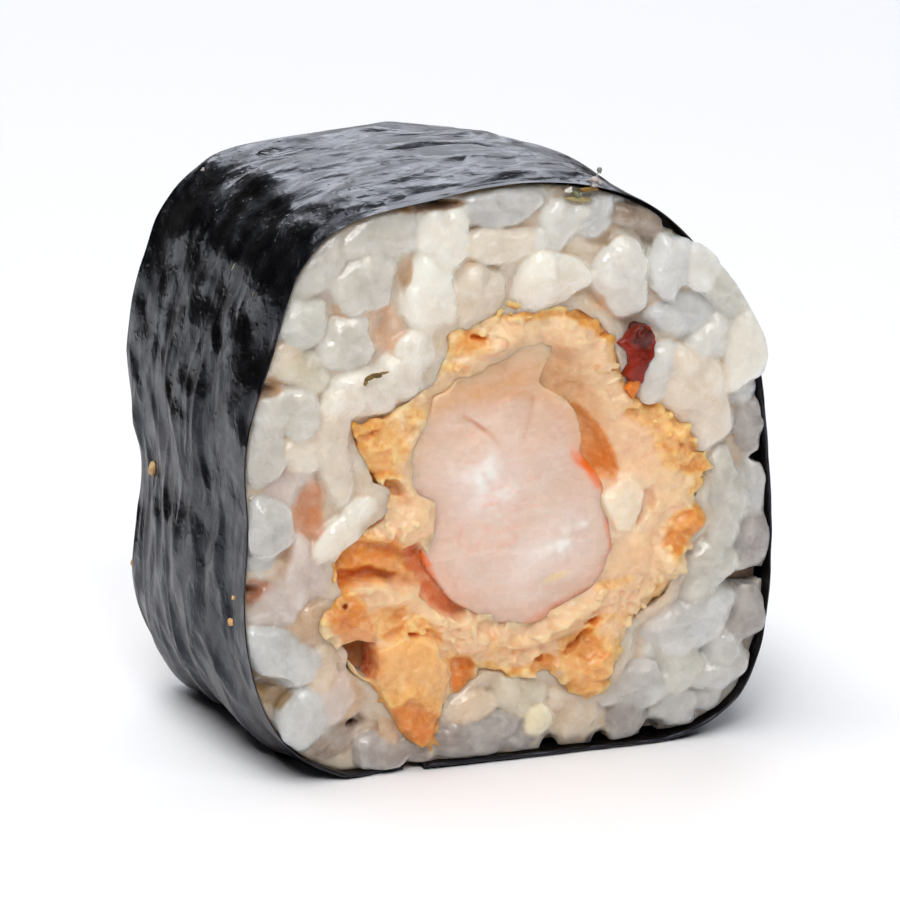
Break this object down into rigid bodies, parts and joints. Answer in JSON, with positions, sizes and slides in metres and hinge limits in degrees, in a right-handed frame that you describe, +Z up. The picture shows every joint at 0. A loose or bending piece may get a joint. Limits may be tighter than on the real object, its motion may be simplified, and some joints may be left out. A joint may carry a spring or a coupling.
{
  "type": "tempura hosomaki",
  "caption": "One cut piece of tempura hosomaki: black seaweed round glossy sushi rice, with a ring of golden fried batter and a pale shrimp in the middle.",
  "frame": {"origin": "centre of the underside, under the middle of the piece's overall box", "axes": "+Y along the roll, from the near cut face to the far one; +Z up, away from the side the piece lies on; +X across the roll, to the right as seen from -Y"},
  "size_m": [0.03, 0.0212, 0.031],
  "materials": {
    "seaweed": "satin",
    "rice": "glossy, translucent",
    "batter": "crisp, flaky",
    "shrimp": "moist"
  },
  "bodies": {
    "root": {"nori": "seaweed", "rice": "rice", "tempura_batter": "batter", "shrimp": "shrimp"}
  },
  "joints": []
}
